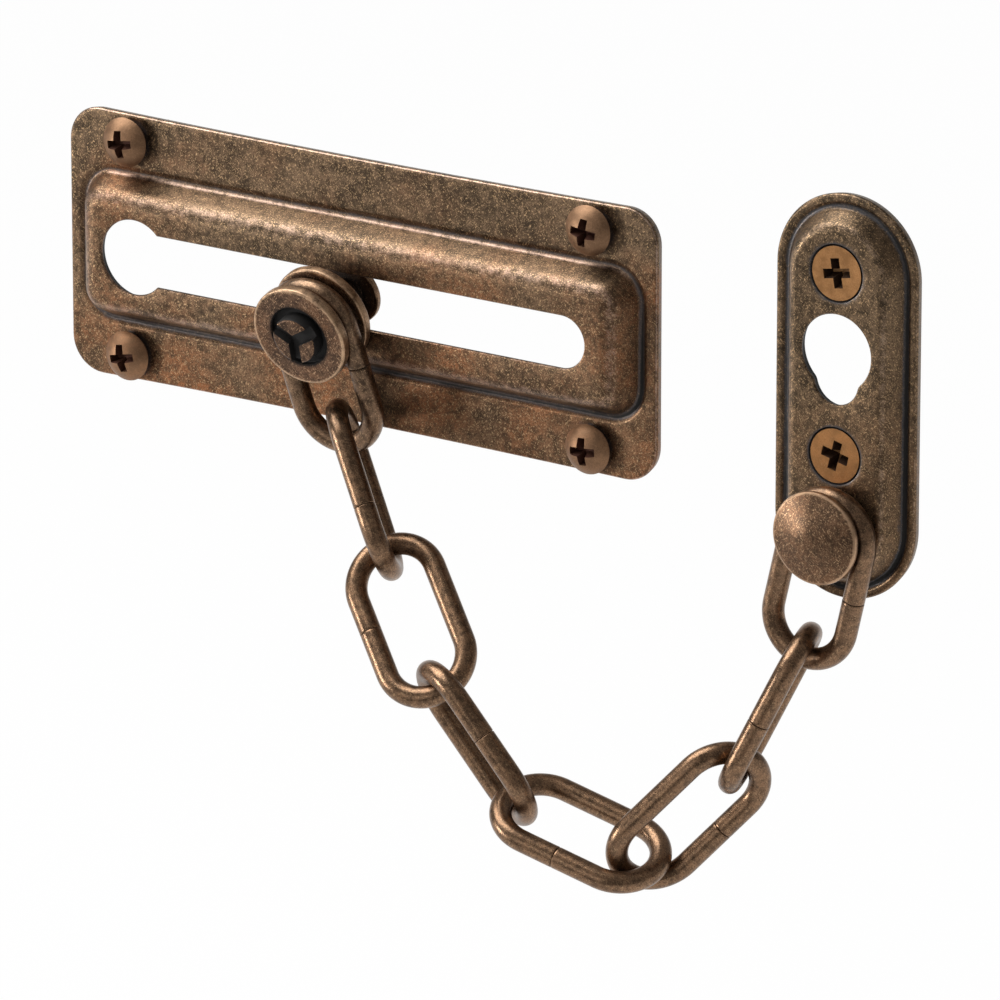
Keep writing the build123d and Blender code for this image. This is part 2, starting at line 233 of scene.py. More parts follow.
def pressed_wall(face, slope, shoulder, spread, foot=0.6):
    """Side of a pressed-up field, as steps out from its foot and heights: an arc for the shoulder,
    the straight slope, a hollow arc, and an S-shaped rise out of the crease to the flange. Each
    step also has its patina and painted shade, and its wear and painted highlight."""
    turn = np.pi / 2 - slope
    run = (face - crease_floor) * np.tan(slope)
    rest = run + shoulder * np.tan(turn / 2)
    top = np.linspace(0, turn, 14)
    hollow = np.linspace(turn, 0, 10)
    toe = foot * np.tan(turn / 2)
    shoulder_out = -rest + shoulder * np.sin(top)
    shoulder_up = face - shoulder * (1 - np.cos(top))
    hollow_out = toe - foot * np.sin(hollow)
    hollow_up = crease_floor + foot * (1 - np.cos(hollow))
    slope_out = np.linspace(shoulder_out[-1], hollow_out[0], 6)[1:-1]
    slope_up = np.linspace(shoulder_up[-1], hollow_up[0], 6)[1:-1]
    lip = np.linspace(0, 1, 10)[1:]
    lip_out = toe + (spread - toe) * lip
    lip_up = crease_floor + (sheet - crease_floor) * lip * lip * (3 - 2 * lip)
    out = np.concatenate([[-rest - 0.2], shoulder_out, slope_out, hollow_out, lip_out])
    up = np.concatenate([[face], shoulder_up, slope_up, hollow_up, lip_up])
    # Wear and a painted highlight along the shoulder.
    shine = np.sin(np.linspace(0.1, np.pi - 0.4, len(top))) * 0.45
    # Patina and painted shade deepening into the crease.
    crease_patina_and_shade = np.linspace(0.2, 1, len(hollow))
    patina_and_shade = [[0], top * 0, [0, 0.02, 0.05, 0.12], crease_patina_and_shade, (1 - lip) ** 1.7]
    wear_and_highlight = [[0.1], shine, [0.25, 0.2, 0.1, 0], hollow * 0, lip * 0.1]
    return out, up, np.concatenate(patina_and_shade), np.concatenate(wear_and_highlight)


def crease_shade_share(marks):
    """How much patina and painted shade lies in a crease along its loop: the painted shade is most
    on the right and more below than above.
    """
    across, up, angle = marks
    return 1.2 + 0.1 * across - 0.36 * up + 0.5 * np.clip(np.cos(angle), 0, 1)


def ring_faces(rows, columns, joined=False):
    """Quads of a grid whose columns close on themselves, and its rows too where it is joined."""
    strips = rows if joined else rows - 1
    row, column = np.meshgrid(np.arange(strips), np.arange(columns), indexing="ij")
    beside = (column + 1) % columns
    near = row * columns
    far = (row + 1) % rows * columns
    quads = [near + column, near + beside, far + beside, far + column]
    return np.stack(quads, axis=-1).reshape(-1, 4)


def loop_skin(rows):
    """A skin through closed loops in planes parallel to the door. A row is a loop, its height off
    the door, its patina and painted shade, and its wear and painted highlight."""
    count = len(rows[0][0])
    points = [np.insert(loop, 1, -height, axis=1) for loop, height, _, _ in rows]
    patina_and_shade = [np.broadcast_to(row[2], count) for row in rows]
    wear_and_highlight = [np.broadcast_to(row[3], count) for row in rows]
    faces = ring_faces(len(rows), count)
    return np.concatenate(points), faces, np.concatenate(patina_and_shade), np.concatenate(wear_and_highlight)


def set_piece(name, skins, finish, body, nodes, crisp=38.0):
    """One mesh from skins of points in millimetres, faces, patina and painted shade, and wear and
    painted highlight, in the CAD's frame. Points that meet are made one, and edges sharper than
    the crisp angle stay sharp."""
    merge_gap = 0.002 * millimetre
    starts = np.cumsum([0] + [len(skin[0]) for skin in skins])
    points = np.concatenate([skin[0] for skin in skins]) * millimetre
    faces = [face for skin, start in zip(skins, starts) for face in (skin[1] + start).tolist()]
    mesh = bpy.data.meshes.new(name)
    mesh.from_pydata(points.tolist(), [], faces)
    for label, column in (("patina_and_shade", 2), ("wear_and_highlight", 3)):
        values = np.concatenate([skin[column][skin[1].reshape(-1)] for skin in skins])
        marks = mesh.attributes.new(label, "FLOAT", "CORNER")
        marks.data.foreach_set("value", values.astype(np.float32))
    shell = bmesh.new()
    shell.from_mesh(mesh)
    bmesh.ops.remove_doubles(shell, verts=shell.verts, dist=merge_gap)
    bmesh.ops.recalc_face_normals(shell, faces=shell.faces)
    shell.to_mesh(mesh)
    shell.free()
    mesh.shade_smooth()
    mesh.set_sharp_from_angle(angle=np.radians(crisp))
    mesh.materials.append(finish.owner)
    made = bpy.data.objects.new(name, mesh)
    bpy.context.scene.collection.objects.link(made)
    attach(made, body)
    if nodes:
        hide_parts(*nodes)


def inside(points, loop):
    """Which points lie inside a loop, by counting the edges that a ray to the right crosses."""
    following = np.roll(loop, -1, axis=0)
    low = loop[None, :, 1] > points[:, None, 1]
    high = following[None, :, 1] > points[:, None, 1]
    rise = following[:, 1] - loop[:, 1]
    rise = np.where(np.abs(rise) < 1e-9, 1e-9, rise)
    share = (points[:, None, 1] - loop[None, :, 1]) / rise
    cross = loop[None, :, 0] + share * (following - loop)[None, :, 0]
    return ((low != high) & (points[:, None, 0] < cross)).sum(axis=1) % 2 == 1


def field_skin(outer, holes, height, patina_and_shade):
    """The flat between an outer loop and its holes: their points joined by the triangles of a
    Delaunay net that keeps every edge, less the triangles inside the holes."""
    loops = [outer] + holes
    points = np.concatenate(loops)
    starts = np.cumsum([0] + [len(loop) for loop in loops])
    walks = [np.arange(len(loop)) + start for loop, start in zip(loops, starts)]
    edges = np.concatenate([np.column_stack([walk, np.roll(walk, -1)]) for walk in walks])
    net = delaunay_2d_cdt([Vector(point) for point in points], edges.tolist(), [], 0, 1e-6)
    flat = np.array([tuple(point) for point in net[0]])
    faces = np.array(net[2])
    middle = flat[faces].mean(axis=1)
    keep = inside(middle, outer)
    for hole in holes:
        keep &= ~inside(middle, hole)
    solid = np.insert(flat, 1, -height, axis=1)
    return solid, faces[keep], np.full(len(flat), patina_and_shade), np.zeros(len(flat))


plate_marks = loop_marks(150, 44, 14)


def slot_loop(out):
    """The keyhole slot: a half circle on the right, two straight edges, and the keyhole's arc on
    the left, pushed out by a distance."""
    radius = slot_radius + out
    entry = keyhole_radius + out
    part = np.arcsin(radius / entry)
    meet = keyhole_x + entry * np.cos(part)
    right = np.linspace(-np.pi / 2, np.pi / 2, 48, endpoint=False)
    left = np.linspace(part, 2 * np.pi - part, 80, endpoint=False)
    edge = np.linspace(slot_end, meet, 90, endpoint=False)
    back = np.linspace(meet, slot_end, 90, endpoint=False)
    x = [slot_end + radius * np.cos(right), edge, keyhole_x + entry * np.cos(left), back]
    z = [radius * np.sin(right), edge * 0 + radius, entry * np.sin(left), back * 0 - radius]
    return np.column_stack([np.concatenate(x), np.concatenate(z)])


def plate_outline(out):
    """The slide plate's rounded rectangle pushed out by a distance, with its long edges drawn in
    towards their middle as a shallow arc."""
    x, z = round_loop(plate_marks, plate_half, plate_corner, out).T
    dip = plate_waist * np.clip(1 - (x / plate_half[0]) ** 2, 0, 1)
    return np.column_stack([x, z - np.sign(z) * dip * np.clip(np.abs(z) / plate_half[1], 0, 1)])


def channel_loop(out):
    """The foot of the channel pushed out by a distance."""
    return round_loop(plate_marks, channel_half, channel_corner, out)


def pan_painted_shadow(loop):
    """Painted shadow on a loop in a ring round each screw, as a bell curve of the distance from that
    ring, and painted shade under each head."""
    gap = np.linalg.norm(loop[:, None, :] - pan_places[None], axis=2).min(axis=1)
    bell = np.exp(-(((gap - pan_shadow_ring) / pan_shadow_spread) ** 2))
    return 0.75 * bell + 0.5 * (gap < pan_shadow_ring)


def edge_rows(outline, shine):
    """The cut edge of a plate: a quarter circle rubbed bright in front, a straight edge, and a small
    bevel behind in painted shade."""
    rows = []
    for turn in np.linspace(0, np.pi / 2, 7):
        loop = outline(-edge_round + edge_round * np.sin(turn))
        wear_and_highlight = shine * np.sin(turn * 1.6 + 0.25) ** 3
        rows.append((loop, sheet - edge_round * (1 - np.cos(turn)), 0.0, wear_and_highlight))
    behind = ((-0.03, 0.95, 0.0), (-0.2, 0.12, 0.15), (-0.3, 0.0, 0.3), (-0.7, 0.0, 0.2))
    return rows + [(outline(out), up, patina_and_shade, 0.0) for out, up, patina_and_shade in behind]


def back_steps(face, slope):
    """How far in from a field's foot the back of its sheet bends: at the door, and under the face."""
    foot = sheet / np.cos(slope) - sheet * np.tan(slope)
    return foot, foot + (face - sheet) * np.tan(slope)


channel_wall = pressed_wall(channel_face, channel_slope, channel_shoulder, channel_lip)
# The slot's walls are painted black shade; its front edge is brightened.
slot_rows = [
    (slot_loop(0.3), channel_face, 0.0, 0.08),
    (slot_loop(0.12), channel_face - 0.04, 0.0, 0.4),
    (slot_loop(0.0), channel_face - 0.2, 0.1, 0.5),
    (slot_loop(0.0), channel_face - 0.45, 1.2, 0.0),
    (slot_loop(0.3), channel_face - 1.0, 2.0, 0.0),
    (slot_loop(0.5), channel_face - sheet, 2.0, 0.0),
    (slot_loop(0.8), channel_face - sheet, 1.0, 0.0),
]

# A painted highlight along the hollow on the channel's upper edge: less patina and painted shade
# there, and more of the bright colour.
top_run = np.clip(np.sin(plate_marks[2]), 0, 1) ** 2
plate_rows = []
for out, up, patina_and_shade, wear_and_highlight in zip(*channel_wall):
    painted_sheen = 0.55 * top_run * (0.15 < patina_and_shade < 1 and out < 0.2)
    # Painted shade in the crease, deepest on the right and below.
    crease_patina_and_shade = patina_and_shade * crease_shade_share(plate_marks) * (1 - painted_sheen)
    plate_rows.append((channel_loop(out), up, crease_patina_and_shade, wear_and_highlight + painted_sheen))
lip_loop = plate_rows[-1][0]
flange_loop = plate_outline(-2 * edge_round)
for share in np.linspace(0, 1, 9)[1:]:
    loop = lip_loop + (flange_loop - lip_loop) * share
    plate_rows.append((loop, sheet, pan_painted_shadow(loop), 0.03))
plate_rows += edge_rows(plate_outline, 0.6)
foot_in, roof_in = back_steps(channel_face, channel_slope)
roof = channel_face - sheet
# Painted shade on the back of the sheet, under the channel's roof and over the back flat.
back_rows = ((-foot_in + 0.5, 0.0, 0.2), (-foot_in + 0.2, 0.0, 0.2), (-foot_in - 0.02, 0.15, 0.3))
back_rows += ((-roof_in + 0.1, roof - 0.15, 0.6), (-roof_in - 0.1, roof, 0.7))
back_rows += ((-roof_in - 0.3, roof, 0.5),)
plate_rows += [(channel_loop(out), up, patina_and_shade, 0.0) for out, up, patina_and_shade in back_rows]
front_flat = field_skin(plate_rows[0][0], [slot_rows[0][0]], channel_face, 0.0)
back_flat = field_skin(plate_rows[-1][0], [slot_rows[-1][0]], roof, 0.5)
plate_skins = [loop_skin(plate_rows), loop_skin(slot_rows), front_flat, back_flat]

plate_bronze = antique_bronze(
    "plate_bronze",
    low=paint(68, 56, 44),
    high=paint(120, 98, 77),
    flecks=paint(200, 165, 124),
    copper=paint(152, 98, 64),
    patina_shade_colour=paint(72, 66, 66),
    bright=paint(236, 204, 188),
    gloss=0.42,
    patina_shade_gloss=0.38,
    grain=0.6,
)
plate_nodes = ["slide_plate"]
set_piece("slide_plate_pressed", plate_skins, plate_bronze, "plates", plate_nodes)


# Slide-plate screws: four pan-head wood screws, number 6, with a cross recess. The heads are matt
# tan bronze with painted red-brown shade in the recess and under the rim, and the threads bite
# into the door behind.
shank_radius = 1.75
thread_root = 1.3
thread_pitch = 1.4
thread_lead = 0.9
thread_flank = 0.24
point_length = 5.6
pan_length = 9.5
pan_height = 2.7
pan_rim = 1.1
pan_bend = 3.803
pan_recess = 2.0


def head_skin(node, low, shade_at):
    """The faces of a CAD screw in front of a height, as triangles with corners of their own, so
    that the painted shade of each face can start at its edge."""
    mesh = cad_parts[node].data
    points = np.empty(len(mesh.vertices) * 3, np.float32)
    mesh.vertices.foreach_get("co", points)
    mesh.calc_loop_triangles()
    corners = np.empty(len(mesh.loop_triangles) * 3, np.int32)
    mesh.loop_triangles.foreach_get("vertices", corners)
    spots = points.reshape(-1, 3)[corners].reshape(-1, 3, 3).astype(float) / millimetre
    spots = spots[(-spots[:, :, 1] >= low - 0.001).all(axis=1)]
    patina_and_shade = np.repeat(shade_at(spots.mean(axis=1)), 3)
    faces = np.arange(len(patina_and_shade)).reshape(-1, 3)
    return spots.reshape(-1, 3), faces, patina_and_shade, np.zeros(len(patina_and_shade))


def thread_skin(place, start, length):
    """A wood screw's thread as a grid of height and angle: the core thins to a point, and a ridge
    whose crest climbs one pitch a turn stands on it."""
    steps = int(length / thread_pitch * 16)
    heights = np.concatenate([[0.0], np.linspace(0, length, steps)])
    turns = np.linspace(0, 2 * np.pi, 40, endpoint=False)
    depth, angle = np.meshgrid(heights, turns, indexing="ij")
    taper = np.clip((length - depth) / point_length, 0, 1)
    lead = np.clip(depth / thread_lead, 0, 1)
    phase = (depth / thread_pitch - angle / (2 * np.pi)) % 1.0
    ridge = np.clip(1 - np.abs(phase - 0.5) / thread_flank, 0, 1)
    core = thread_root * taper**0.8 + (shank_radius - thread_root) * (1 - lead)
    radius = core + (shank_radius - thread_root) * ridge * lead * np.clip(taper * 1.5, 0, 1)
    radius[[0, -1]] = 0.0
    x = place[0] + radius * np.cos(angle)
    z = place[1] + radius * np.sin(angle)
    points = np.stack([x, depth + start, z], axis=-1).reshape(-1, 3)
    # Painted shade in the roots of the thread, and its crests brightened.
    crest = ridge.reshape(-1)
    return points, ring_faces(len(heights), len(turns)), 0.6 - crest * 0.5, crest * 0.6


def pan_head_painted_shade(middle):
    """Painted shade all over the recess, and under the rim of the head. The dome is a part of a
    sphere.
    """
    gap = np.linalg.norm(middle[:, None, [0, 2]] - pan_places[None], axis=2).min(axis=1)
    dome = sheet + pan_height - pan_bend + np.sqrt(pan_bend**2 - gap**2)
    recess = (gap < pan_recess) & (dome + middle[:, 1] > 0.15)
    under = -middle[:, 1] < sheet + pan_rim - 0.2
    return np.where(recess, 1.0, np.where(under, 0.7, 0.0))


pan_bronze = antique_bronze(
    "pan_bronze",
    low=paint(124, 95, 72),
    high=paint(150, 117, 89),
    flecks=paint(168, 133, 102),
    copper=paint(148, 106, 76),
    patina_shade_colour=paint(64, 28, 18),
    bright=paint(204, 170, 134),
    gloss=0.52,
    patina_shade_gloss=0.7,
    grain=0.2,
    speckle=0.4,
)
pan_heads = [head_skin("slide_plate_screws", 0.0, pan_head_painted_shade)]
pan_threads = [thread_skin(place, 0.0, pan_length - sheet) for place in pan_places]
pan_nodes = ["slide_plate_screws"]
head_crisp = 30.0
thread_crisp = 50.0
set_piece(
    "slide_plate_screw_heads", pan_heads, pan_bronze, "plates", pan_nodes, head_crisp
)
set_piece(
    "slide_plate_screw_threads", pan_threads, pan_bronze, "plates", [], thread_crisp
)


# Slider: a turned button behind the slot, a flanged spool and a front disc in front of it, drawn
# together by one screw with a three-armed slot. It tips forward under the chain's weight. It is
# the same antique bronze, with painted black shade deep in the counterbore and the groove.
slider_tip = np.radians(15.0)
slider_centre = np.array([-1.2, -4.25, -0.633])
slider_forward = np.array([0.0, -np.cos(slider_tip), -np.sin(slider_tip)])
slider_up = np.array([0.0, -np.sin(slider_tip), np.cos(slider_tip)])
slider_side = np.array([1.0, 0.0, 0.0])
button_back = -2.984
button_front = -2.084
flange_back = 2.647
flange_front = 3.847
disc_back = 7.347
disc_front = 8.647
bore_floor = 7.847
screw_face = 9.847
button_radius = 4.3
neck_radius = 2.15
disc_radius = 6.4
hub_radius = 3.2
hole_in_hub = 1.35
bore_radius = 3.85
rim = 0.25


def turned_skin(centre, forward, side, up, profile, steps=96, joined=False):
    """A profile of radius, distance along the axis, patina and painted shade, and wear and painted
    highlight, turned once round the axis.
    """
    profile = np.array(profile, float)
    angle = np.linspace(0, 2 * np.pi, steps, endpoint=False)
    spokes = np.outer(np.cos(angle), side) + np.outer(np.sin(angle), up)
    points = centre + profile[:, None, 1:2] * forward + profile[:, None, 0:1] * spokes[None]
    patina_and_shade = np.repeat(profile[:, 2], steps)
    wear_and_highlight = np.repeat(profile[:, 3], steps)
    return points.reshape(-1, 3), ring_faces(len(profile), steps, joined), patina_and_shade, wear_and_highlight


def rim_arc(radius, along, bend, start, end, patina_and_shade=0.0, wear_and_highlight=0.6):
    """A rounded rim: an arc of that bend, from a start angle to an end angle, in degrees."""
    angle = np.radians(np.linspace(start, end, 6))
    return [(radius + bend * np.cos(a), along + bend * np.sin(a), patina_and_shade, wear_and_highlight) for a in angle]


# Third column: painted shade, black in the counterbore; fourth: wear and painted highlight.
button_profile = [(0.0, button_back, 0.3, 0.1), (3.6, button_back, 0.3, 0.1)]
button_profile += rim_arc(button_radius - rim, button_back + rim, rim, -90, 0, 0.1, 0.5)
button_profile += rim_arc(button_radius - rim, button_front - rim, rim, 0, 90, 0.2, 0.5)
button_profile += [(3.6, button_front, 0.5, 0), (2.3, button_front, 0.9, 0)]
button_profile += [(neck_radius, button_front + 0.15, 0.9, 0), (neck_radius, 0.0, 0.5, 0.1)]
button_profile += [(neck_radius, flange_back - 0.02, 0.9, 0), (0.0, flange_back - 0.02, 0.9, 0)]
spool_profile = [(hole_in_hub, flange_back, 0.9, 0), (2.2, flange_back, 0.9, 0)]
spool_profile += [(5.8, flange_back, 0.3, 0)]
spool_profile += rim_arc(disc_radius - rim, flange_back + rim, rim, -90, 0)
spool_profile += rim_arc(disc_radius - rim, flange_front - rim, rim, 0, 90)
spool_profile += [(5.6, flange_front, 0.3, 0), (3.5, flange_front, 0.9, 0)]
spool_profile += [(hub_radius, flange_front + 0.3, 0.9, 0), (hub_radius, disc_back - 0.3, 0.8, 0)]
spool_profile += [(hub_radius, disc_back, 0.9, 0), (hole_in_hub, disc_back, 0.9, 0)]
disc_profile = [(hole_in_hub, disc_back, 0.9, 0), (3.3, disc_back, 0.8, 0)]
disc_profile += [(5.7, disc_back, 0.2, 0)]
disc_profile += rim_arc(disc_radius - rim, disc_back + rim, rim, -90, 0)
disc_profile += rim_arc(disc_radius - rim, disc_front - rim, rim, 0, 90, 0, 0.7)
disc_profile += [(5.8, disc_front, 0.05, 0.15), (4.5, disc_front, 0.15, 0)]
disc_profile += [(4.0, disc_front, 0.7, 0), (bore_radius, disc_front - 0.15, 1.4, 0)]
disc_profile += [(bore_radius, bore_floor + 0.1, 2, 0), (3.75, bore_floor, 2, 0)]
disc_profile += [(hole_in_hub, bore_floor, 2, 0)]


def slider_screw_painted_shade(middle):
    """Painted black shade in the arms of the slot and down the side of the head in its
    counterbore.
    """
    along = (middle - slider_centre) @ slider_forward
    return 2.0 * np.clip((screw_face - 0.1 - along) / 0.1, 0, 1)


slider_bronze = antique_bronze(
    "slider_bronze",
    low=paint(64, 49, 39),
    high=paint(114, 88, 70),
    flecks=paint(192, 154, 120),
    copper=paint(130, 90, 62),
    patina_shade_colour=paint(12, 11, 11),
    bright=paint(220, 184, 148),
    gloss=0.42,
    patina_shade_gloss=0.75,
    grain=0.5,
)
slider_axes = (slider_centre, slider_forward, slider_side, slider_up)
turned_parts = (("button", button_profile, False), ("spool", spool_profile, True))
turned_parts += (("disc", disc_profile, True),)
for part, profile, joined in turned_parts:
    name = f"slider_{part}"
    skins = [turned_skin(*slider_axes, profile, joined=joined)]
    set_piece(f"{name}_turned", skins, slider_bronze, "slider", [name])
name = "slider_screw"
skins = [head_skin(name, -90.0, slider_screw_painted_shade)]
set_piece(f"{name}_slotted", skins, slider_bronze, "slider", [name], head_crisp)


# Chain: eight links, each bent from one length of 2.67 mm steel wire round two pins and closed by
# a butt seam in one leg, not welded. The tumbled bronze is smoother here, with long highlights.
wire_radius = 1.335
leg_length = 10.35
crown_radius = 5.04
seam_gap = 0.03
lay_angles = np.radians([79.0, 58.0, 45.5, 50.0, 16.0, -50.0, -67.5, -77.0])
roll_angles = np.radians([0.0, 122.0, 32.0, 140.5, 70.5, 131.0, 74.0, 0.0])
door_slopes = np.array([0.0, -0.23356, -0.38356, 0.04644, 0.09644, 0.32644, 0.23644, 0.0])
first_lean = np.radians(12.0)
first_start = np.array([-1.1323, -9.5835, -2.4224])
link_steps = (5.5524, 7.121, 6.8928, 6.5932, 5.0839, 6.4053, 7.128)
seam_sides = (1, -1, -1, -1, -1, 1, -1, -1)
seam_places = (0.5, 0.78, 0.43, 0.5, 0.46, 0.59, 0.42, 0.42)
wire_steps = 32


def link_lay():
    """Start, length direction and leg direction of each link: the next link starts a step beyond
    the end of this one, along the mean direction of the two."""
    lean_up = np.array([0, -np.sin(first_lean), np.cos(first_lean)])
    east = np.array([1.0, 0, 0])
    along = east * np.cos(lay_angles[0]) - lean_up * np.sin(lay_angles[0])
    across = east * np.sin(lay_angles[0]) + lean_up * np.cos(lay_angles[0])
    start = first_start
    lay = [(start, along, across)]
    following = zip(lay_angles[1:], roll_angles[1:], door_slopes[1:], link_steps)
    for turn, roll, slope, step in following:
        flat = np.sqrt(1 - slope**2)
        onward = np.array([np.cos(turn) * flat, slope, -np.sin(turn) * flat])
        level = np.array([np.sin(turn), 0, np.cos(turn)])
        pull = (along + onward) / np.linalg.norm(along + onward)
        start = start + along * leg_length + pull * step
        along = onward
        across = level * np.cos(roll) + np.cross(level, onward) * np.sin(roll)
        lay.append((start, along, across))
    return lay


def link_skin(start, along, across, seam):
    """A round wire carried from one face of the seam along its leg, round both crowns, to the
    other face. Its radius falls off a little at the ends, which close on their middle."""
    bend = np.linspace(0, np.pi, 45)
    near = seam - seam_gap / 2
    far = seam + seam_gap / 2
    ease = np.array([0.0, 0.0, 0.04, 0.1])
    leg = np.linspace(far + 0.3, leg_length, 8, endpoint=False)
    other = np.linspace(leg_length, 0, 14, endpoint=False)[1:]
    last = np.linspace(0, near - 0.3, 8)[1:]
    path_u = [far + ease, leg, leg_length + crown_radius * np.sin(bend), other]
    path_u += [-crown_radius * np.sin(bend), last, near - ease[::-1]]
    normal_u = [ease * 0, leg * 0, np.sin(bend), other * 0, -np.sin(bend), last * 0, ease * 0]
    normal_v = [ease * 0 + 1, leg * 0 + 1, np.cos(bend), other * 0 - 1]
    normal_v += [-np.cos(bend), last * 0 + 1, ease * 0 + 1]
    path_u, normal_u, normal_v = (np.concatenate(part) for part in (path_u, normal_u, normal_v))
    path_v = crown_radius * normal_v
    thick = np.full(len(path_u), wire_radius)
    thick[:3] = (0.0, wire_radius - 0.1, wire_radius - 0.03)
    thick[-3:] = thick[2::-1]
    angle = np.linspace(0, 2 * np.pi, wire_steps, endpoint=False)
    outward = normal_u[:, None] * along + normal_v[:, None] * across
    beside = np.cross(along, across)
    middle = start + path_u[:, None] * along + path_v[:, None] * across
    ring = np.cos(angle)[None, :, None] * outward[:, None, :]
    ring = ring + np.sin(angle)[None, :, None] * beside
    points = middle[:, None, :] + thick[:, None, None] * ring
    # Painted shade on the inner side of the crowns, and the seam's ends darkened as a joint.
    inner = np.clip(-np.cos(angle), 0, 1)[None, :] * (np.abs(normal_u) > 0.5)[:, None]
    count = np.arange(len(thick))
    ends = np.exp(-np.minimum(count, count[::-1]) / 1.6)[:, None]
    patina_and_shade = np.clip(inner * 0.45 + ends * 0.9, 0, 1)
    wear_and_highlight = np.clip(np.cos(angle), 0, 1)[None, :] ** 2 * (0.15 + 0.3 * np.abs(normal_u))[:, None]
    faces = ring_faces(len(thick), wire_steps)
    return points.reshape(-1, 3), faces, patina_and_shade.reshape(-1), wear_and_highlight.reshape(-1)


wire_bronze = antique_bronze(
    "wire_bronze",
    low=paint(74, 59, 47),
    high=paint(136, 109, 87),
    flecks=paint(196, 161, 124),
    copper=paint(136, 105, 80),
    patina_shade_colour=paint(16, 14, 12),
    bright=paint(200, 166, 134),
    gloss=0.32,
    patina_shade_gloss=0.5,
    grain=0.25,
    speckle=0.6,
)
wire_crisp = 50.0
for number, (lay, side, place) in enumerate(zip(link_lay(), seam_sides, seam_places), 1):
    start, along, across = lay
    skins = [link_skin(start, along, across * side, leg_length * place)]
    name = f"chain_link_{number}"
    set_piece(f"{name}_bent", skins, wire_bronze, f"link_{number}", [name], wire_crisp)


# Anchor plate: a stadium of the same pressed sheet, with a raised field, a parking keyhole and two
# countersunk holes. It is screwed to the door frame, and holds the knob near its lower end.
anchor_low, anchor_high = (np.array(corner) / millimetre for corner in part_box("anchor_plate"))
anchor_place = (anchor_low + anchor_high)[[0, 2]] / 2
anchor_half = (9.55, 24.65)
field_half = (7.8, 22.9)
field_face = 3.8
field_slope = np.radians(30.0)
field_shoulder = 1.5
field_lip = 1.0
field_back = field_face - sheet
screw_drops = np.array([(0.0, 15.7), (0.0, -6.5)])
sink_radius = 3.55
hole_radius = 2.0
key_z = 6.0
key_radius = 4.7
park_z = 2.7
park_radius = 3.0
key_middle = 3.6
anchor_crease_shade = 0.4
knob_drop = -15.4
post_hole = 1.52
anchor_marks = loop_marks(1, 110, 36)
hole_turns = np.linspace(0, 2 * np.pi, 72, endpoint=False)


def key_loop(out):
    """The parking keyhole as distances from a point inside it: the farther of a large and a small
    circle at each angle, evened over a few degrees where the two meet."""
    angle = np.linspace(0, 2 * np.pi, 144, endpoint=False)
    reach = []
    for centre, radius in ((key_z, key_radius), (park_z, park_radius)):
        lift = centre - key_middle
        along = lift * np.sin(angle)
        reach.append(along + np.sqrt(along**2 + radius**2 - lift**2))
    far = np.maximum(*reach)
    spread = np.mean([np.roll(far, shift) for shift in range(-2, 3)], axis=0)
    far = np.where(np.abs(spread - far) > 0.02, spread, far) + out
    return np.column_stack([far * np.cos(angle), key_middle + far * np.sin(angle)])


def anchor_outline(out):
    """The anchor plate's stadium pushed out by a distance."""
    return round_loop(anchor_marks, anchor_half, anchor_half[0], out)


def field_loop(out):
    """The foot of the raised field pushed out by a distance."""
    return round_loop(anchor_marks, field_half, field_half[0], out)


def hole_rows(place, steps):
    """A round hole in the field, as circles round its place. A step is a radius, a depth below the
    field, painted shade, and wear and painted highlight."""
    circle = np.column_stack([np.cos(hole_turns), np.sin(hole_turns)])
    loops = [np.array(place) + step[0] * circle for step in steps]
    return [(loop, field_face - step[1], *step[2:]) for loop, step in zip(loops, steps)]


anchor_rows = []
for out, up, patina_and_shade, wear_and_highlight in zip(*pressed_wall(field_face, field_slope, field_shoulder, field_lip)):
    # Extra patina and painted shade all round the anchor's crease, black in its deepest part.
    crease_patina_and_shade = patina_and_shade * (crease_shade_share(anchor_marks) + anchor_crease_shade)
    anchor_rows.append((field_loop(out), up, crease_patina_and_shade, wear_and_highlight))
anchor_rows += edge_rows(anchor_outline, 0.45)
foot_in, roof_in = back_steps(field_face, field_slope)
# Painted shade on the back of the sheet, under the field and over the back flat.
back_rows = ((-foot_in + 0.2, 0.0, 0.2), (-foot_in - 0.02, 0.15, 0.3))
back_rows += ((-roof_in, field_back - 0.15, 0.6), (-roof_in - 0.2, field_back, 0.6))
anchor_rows += [(field_loop(out), up, patina_and_shade, 0.0) for out, up, patina_and_shade in back_rows]

# Painted black shade down the walls of the keyhole.
key_rows = [
    (key_loop(0.3), field_face, 0.0, 0.05),
    (key_loop(0.12), field_face - 0.04, 0.0, 0.35),
    (key_loop(0.0), field_face - 0.2, 0.1, 0.45),
    (key_loop(0.0), field_face - 0.45, 1.2, 0.0),
    (key_loop(0.25), field_face - 1.0, 2.0, 0.0),
    (key_loop(0.4), field_back, 2.0, 0.0),
]
# Painted shade down the countersinks and the post hole.
sunk_steps = ((4.3, 0.0, 0.05, 0.0), (3.75, 0.0, 0.5, 0.15), (sink_radius, 0.06, 0.9, 0.2))
sunk_steps += ((sink_radius - 0.1, 0.3, 1.0, 0.0), (hole_radius, 1.45, 1.0, 0.0))
sunk_steps += ((hole_radius, sheet, 0.8, 0.0),)
post_steps = ((3.4, 0.0, 0.2, 0.0), (2.1, 0.0, 0.9, 0.0))
post_steps += ((post_hole, 0.1, 1.0, 0.0), (post_hole, sheet, 1.0, 0.0))
anchor_holes = [key_rows] + [hole_rows(drop, sunk_steps) for drop in screw_drops]
anchor_holes += [hole_rows((0.0, knob_drop), post_steps)]
front_holes = [rows[0][0] for rows in anchor_holes]
back_holes = [rows[-1][0] for rows in anchor_holes]
anchor_skins = [loop_skin(rows) for rows in [anchor_rows] + anchor_holes]
anchor_skins += [field_skin(anchor_rows[0][0], front_holes, field_face, 0.0)]
anchor_skins += [field_skin(anchor_rows[-1][0], back_holes, field_back, 0.5)]
